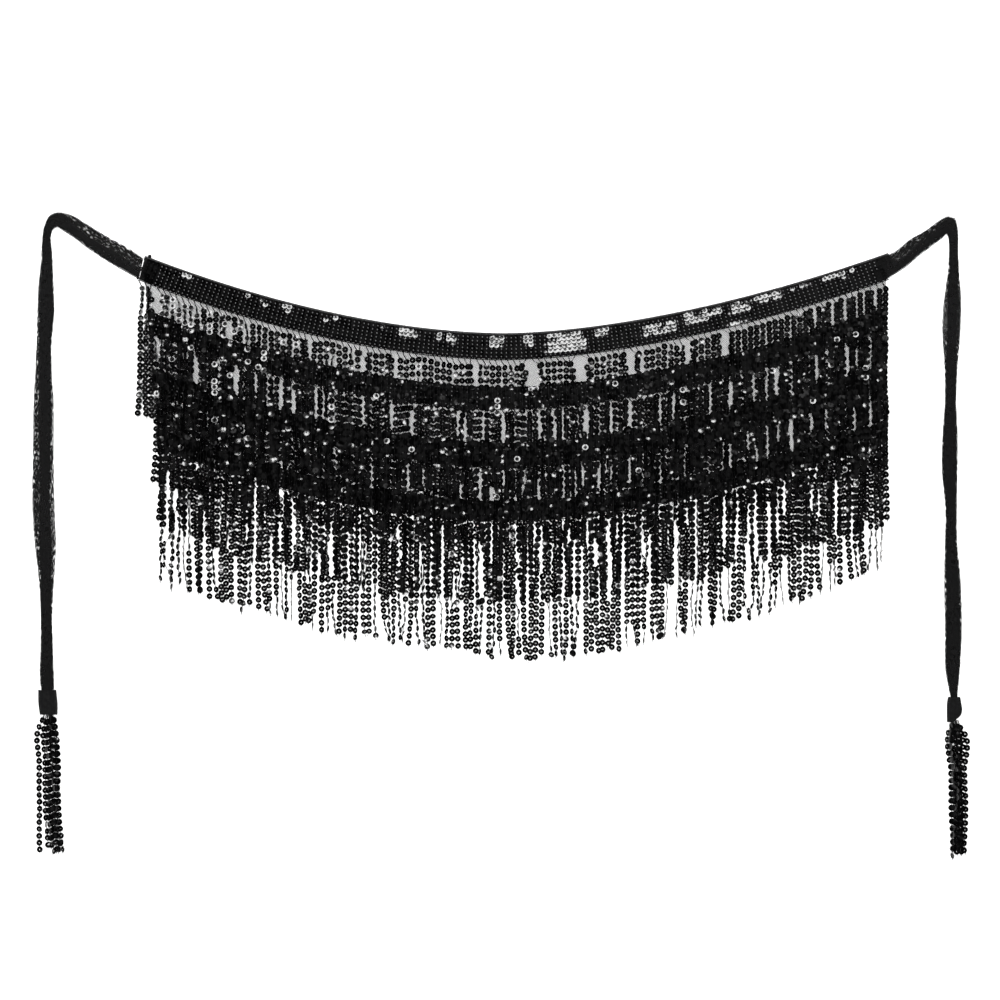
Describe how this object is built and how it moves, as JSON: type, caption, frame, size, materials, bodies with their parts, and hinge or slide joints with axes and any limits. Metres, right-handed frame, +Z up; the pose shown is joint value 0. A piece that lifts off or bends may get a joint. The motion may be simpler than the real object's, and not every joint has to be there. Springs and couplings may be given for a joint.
{
  "type": "fringed hip belt",
  "caption": "Hip scarf laid flat: curved net panel with sequined bands, tiers of strung sequin fringe, and a folded net tie with a tassel at each end.",
  "frame": {"origin": "middle of the laid-out belt, on the surface it lies on", "axes": "+X along the waist from the tie at one end to the tie at the other, +Y towards the waist edge, +Z up from the surface, out of the belt's right side"},
  "size_m": [0.9365, 0.6476, 0.0093],
  "materials": {
    "net": "fine black nylon net, matt, see-through in a single layer",
    "tape": "black woven tape and knitted cuff cloth",
    "band_sequins": "black sequins sewn close in overlapping rows, glossy",
    "fringe_sequins": "black 6 mm ring cup sequins strung on black thread, glossy"
  },
  "bodies": {
    "root": {"net_panel": "net", "edge_binding": "tape", "waistband": "band_sequins", "sequin_band_1": "band_sequins", "sequin_band_2": "band_sequins", "sequin_band_3": "band_sequins", "fringe_tier_1": "fringe_sequins", "fringe_tier_2": "fringe_sequins", "fringe_tier_3": "fringe_sequins", "fringe_tier_4": "fringe_sequins", "tie_left": "net", "tie_right": "net", "cuff_left": "tape", "cuff_right": "tape", "tassel_left": "fringe_sequins", "tassel_right": "fringe_sequins"}
  },
  "joints": []
}
